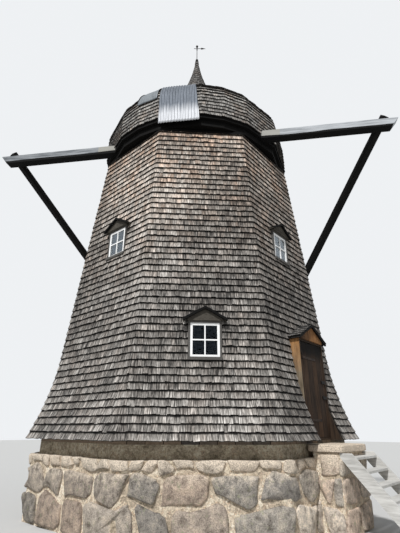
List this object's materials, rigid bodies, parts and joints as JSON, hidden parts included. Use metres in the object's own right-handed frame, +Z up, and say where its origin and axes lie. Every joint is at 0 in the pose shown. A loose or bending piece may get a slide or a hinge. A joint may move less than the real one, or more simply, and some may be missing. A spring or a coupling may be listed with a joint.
{
  "type": "traditional windmill",
  "caption": "Shingled timber smock mill with a flared skirt on a fieldstone plinth, a turning domed cap with a spire, a beam, braces and a tail pole, and no sails.",
  "frame": {"origin": "on the ground under the middle of the tower", "axes": "-Y out of the door side, +X to the right of someone who faces the door, +Z up"},
  "size_m": [10.7026, 9.9754, 15.7531],
  "materials": {
    "shingle": "weathered split shingles",
    "oak": "dark weathered boards",
    "grey_timber": "bleached grey boards",
    "dark_timber": "tarred beams",
    "stone": "fieldstone in pale mortar",
    "white_paint": "white paint",
    "glass": "clear panes",
    "zinc": "galvanised sheet",
    "iron": "black wrought iron"
  },
  "bodies": {
    "tower": {"plinth": "stone", "landing_pier": "stone", "landing_slab": "stone", "stair_stringers": "grey_timber", "stair_treads": "grey_timber", "sill_ring": "stone", "ground_floor": "oak", "upper_floor": "oak", "door_wall_left": "shingle", "door_wall_right": "shingle", "door_wall_over": "shingle", "right_front_wall": "shingle", "right_wall": "shingle", "right_back_wall": "shingle", "back_wall": "shingle", "left_back_wall": "shingle", "left_wall": "shingle", "left_front_wall": "shingle", "curb_ring": "oak", "window_casings": "dark_timber", "window_sashes": "white_paint", "window_panes": "glass", "window_hoods": "shingle", "door_casing": "grey_timber", "door_hood": "shingle", "door_pintles": "iron"},
    "cap": {"cap_ring": "dark_timber", "cap_front": "shingle", "cap_right": "shingle", "cap_back": "shingle", "cap_left": "shingle", "spire": "shingle", "ribbed_sheet": "zinc", "smooth_sheet": "zinc", "spreader_beam": "dark_timber", "braces": "dark_timber", "tail_pole": "dark_timber", "vane_rod": "iron"},
    "weather_vane": {"vane": "iron"},
    "door": {"door_leaf": "oak", "door_straps": "iron", "door_lock": "iron"}
  },
  "joints": [
    {"name": "cap_turn", "type": "hinge", "parent": "tower", "child": "cap", "pos_m": [0, 0, 9], "axis": [0, 0, 1], "continuous": true},
    {"name": "vane_turn", "type": "hinge", "parent": "cap", "child": "weather_vane", "pos_m": [0, 0, 15.59], "axis": [0, 0, 1], "continuous": true},
    {"name": "door_hinge", "type": "hinge", "parent": "tower", "child": "door", "pos_m": [-0.374, -3.38, 2.5], "axis": [0, 0, -1], "range_deg": [0, 85]}
  ]
}
